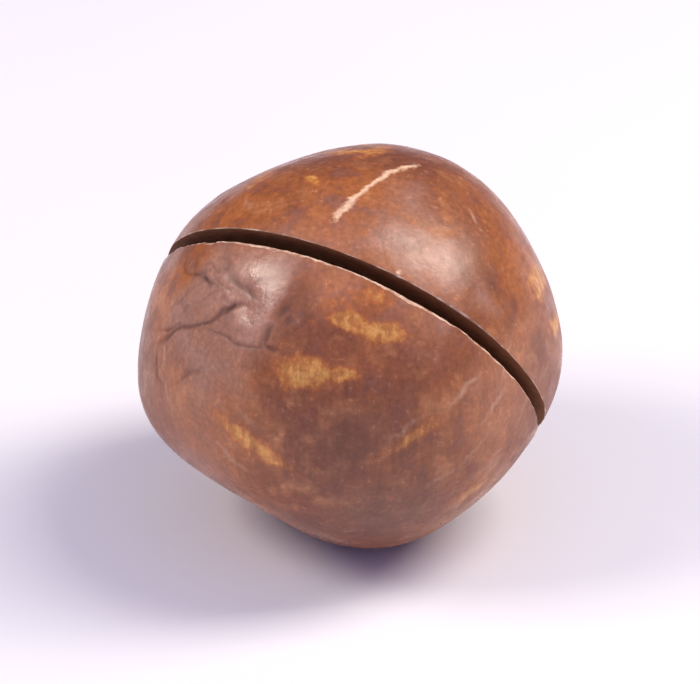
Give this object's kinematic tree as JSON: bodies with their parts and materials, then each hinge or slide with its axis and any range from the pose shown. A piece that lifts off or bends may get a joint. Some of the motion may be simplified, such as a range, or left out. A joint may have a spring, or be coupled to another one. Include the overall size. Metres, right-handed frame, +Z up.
{
  "type": "macadamia nut in shell",
  "caption": "Whole near-round macadamia nut: a hard brown shell, sawn part of the way round with a thin slot for cracking it open, with the dried kernel loose inside.",
  "frame": {"origin": "on the ground under the middle of the nut's width and depth, inside the small flat spot it stands on", "axes": "+Z up, -Y towards the front, the side with most of the saw slot and the creased hilum patch, +X to the nut's right as seen from the front; the nut is widest along X"},
  "size_m": [0.025, 0.024, 0.0236],
  "materials": {
    "brown_shell": "satin",
    "cream_kernel": "matte"
  },
  "bodies": {
    "root": {"shell": "brown_shell", "kernel": "cream_kernel"}
  },
  "joints": []
}
